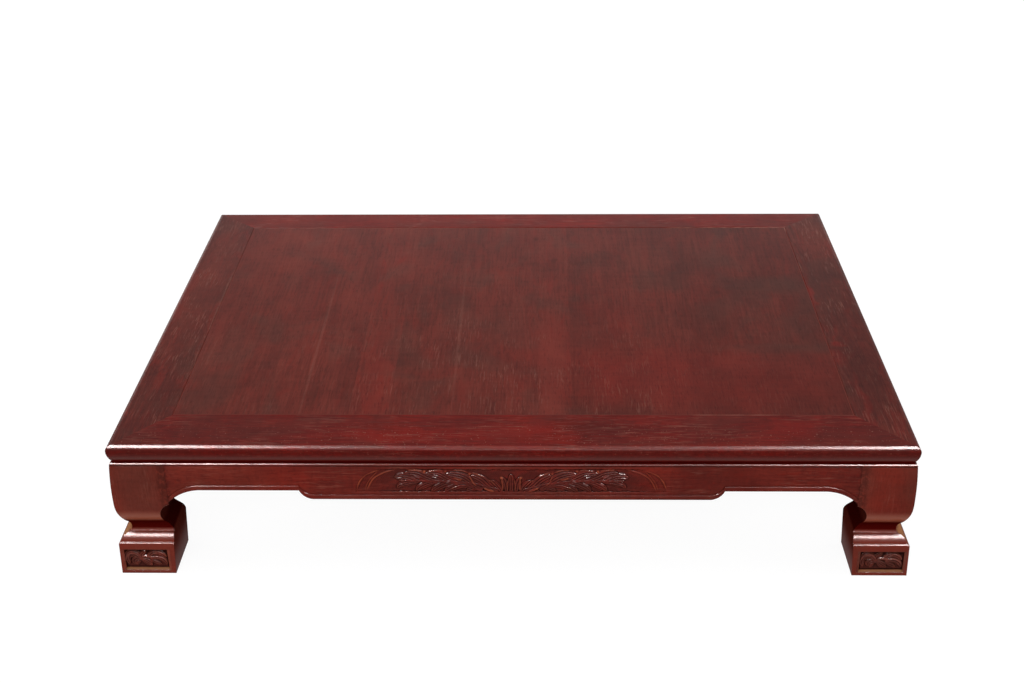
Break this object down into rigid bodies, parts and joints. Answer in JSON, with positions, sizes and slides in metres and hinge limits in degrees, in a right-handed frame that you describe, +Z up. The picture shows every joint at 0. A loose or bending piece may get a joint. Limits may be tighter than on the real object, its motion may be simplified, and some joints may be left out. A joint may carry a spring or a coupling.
{
  "type": "kang table",
  "caption": "Low rectangular hardwood table with a mitred frame and floating board panel, carved aprons with a beaded lower edge, and square waisted legs on block feet.",
  "frame": {"origin": "on the floor at the middle of the table", "axes": "+X along the table's length to the right, -Y towards the front, +Z up"},
  "size_m": [1.21, 0.86, 0.23],
  "materials": {
    "frame_wood": "dark red-brown rosewood, clear lacquer, satin gloss, rubbed edges",
    "panel_wood": "red-brown rosewood boards, open pores, clear lacquer, satin",
    "base_wood": "dark red-brown rosewood, clear lacquer, gloss on the mouldings and the carving",
    "batten_wood": "planed hardwood, thin wash coat, dull"
  },
  "bodies": {
    "root": {"top_front_rail": "frame_wood", "top_back_rail": "frame_wood", "top_left_stile": "frame_wood", "top_right_stile": "frame_wood", "panel_board_01": "panel_wood", "panel_board_02": "panel_wood", "panel_board_03": "panel_wood", "panel_board_04": "panel_wood", "panel_board_05": "panel_wood", "panel_board_06": "panel_wood", "panel_board_07": "panel_wood", "panel_board_08": "panel_wood", "panel_board_09": "panel_wood", "panel_board_10": "panel_wood", "batten_front": "batten_wood", "batten_middle": "batten_wood", "batten_back": "batten_wood", "leg_front_left": "base_wood", "leg_front_right": "base_wood", "leg_back_left": "base_wood", "leg_back_right": "base_wood", "apron_front": "base_wood", "apron_back": "base_wood", "apron_left": "base_wood", "apron_right": "base_wood"}
  },
  "joints": []
}
